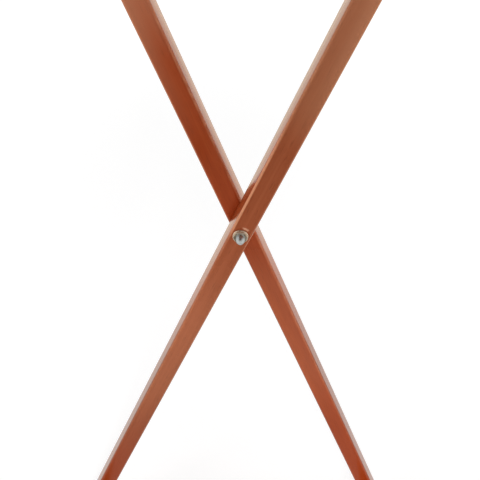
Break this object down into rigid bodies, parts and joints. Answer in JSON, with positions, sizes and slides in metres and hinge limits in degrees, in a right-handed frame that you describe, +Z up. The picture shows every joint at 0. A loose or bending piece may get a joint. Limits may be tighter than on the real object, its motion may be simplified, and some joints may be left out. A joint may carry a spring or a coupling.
{
  "type": "butler's tray table",
  "caption": "Lift-off gallery tray with hand-holds on a folding stand of slim crossed legs, which turn on bolts with cap nuts and are held open by webbing straps.",
  "frame": {"origin": "on the floor, under the middle of the tray and of the open stand", "axes": "+Z up, +Y along the pivot axis and the tray's length, +X the way the legs spread"},
  "size_m": [0.42, 0.62, 0.8351],
  "materials": {
    "stained_wood": "red-brown stain under gloss varnish",
    "panel_veneer": "red-brown veneer under gloss varnish",
    "peg_wood": "end grain, stained and varnished",
    "plated_steel": "bright nickel plate",
    "screw_steel": "zinc plate",
    "tack_brass": "aged brass",
    "webbing": "woven cotton webbing",
    "glide_nylon": "moulded nylon",
    "spacer_nylon": "brown nylon"
  },
  "bodies": {
    "outer_frame": {"outer_leg_front": "stained_wood", "outer_leg_rear": "stained_wood", "outer_top_rail": "stained_wood", "outer_stretcher": "stained_wood", "outer_rail_pegs": "peg_wood", "outer_glide_front": "glide_nylon", "outer_glide_rear": "glide_nylon", "outer_strap_ends": "webbing", "outer_strap_tacks": "tack_brass", "pivot_bolt_front": "plated_steel", "pivot_bolt_rear": "plated_steel", "cap_nut_front": "plated_steel", "cap_nut_rear": "plated_steel", "nut_washer_front": "plated_steel", "nut_washer_rear": "plated_steel", "head_washer_front": "plated_steel", "head_washer_rear": "plated_steel", "spacer_washer_front": "spacer_nylon", "spacer_washer_rear": "spacer_nylon", "strap_span_1": "webbing", "strap_span_2": "webbing", "strap_span_3": "webbing"},
    "inner_frame": {"inner_leg_front": "stained_wood", "inner_leg_rear": "stained_wood", "inner_top_rail": "stained_wood", "inner_stretcher": "stained_wood", "inner_rail_pegs": "peg_wood", "inner_glide_front": "glide_nylon", "inner_glide_rear": "glide_nylon", "inner_strap_ends": "webbing", "inner_strap_tacks": "tack_brass"},
    "tray": {"tray_panel": "panel_veneer", "tray_side_left": "stained_wood", "tray_side_right": "stained_wood", "tray_end_front": "stained_wood", "tray_end_rear": "stained_wood", "tray_cleat_left": "stained_wood", "tray_cleat_right": "stained_wood", "cleat_screws": "screw_steel"}
  },
  "joints": [
    {"name": "tray_lift", "type": "slide", "parent": "outer_frame", "child": "tray", "axis": [0, 0, 1], "range_m": [0, 0.35]},
    {"name": "stand_fold", "type": "hinge", "parent": "outer_frame", "child": "inner_frame", "pos_m": [0.001, 0, 0.443], "axis": [0, -1, 0], "range_deg": [0, 39], "deforming": ["strap_span_1", "strap_span_2", "strap_span_3"]}
  ],
  "couplings": [
    {"joint": "stand_fold", "follows": "tray_lift", "rad_per_m": 1.944}
  ]
}
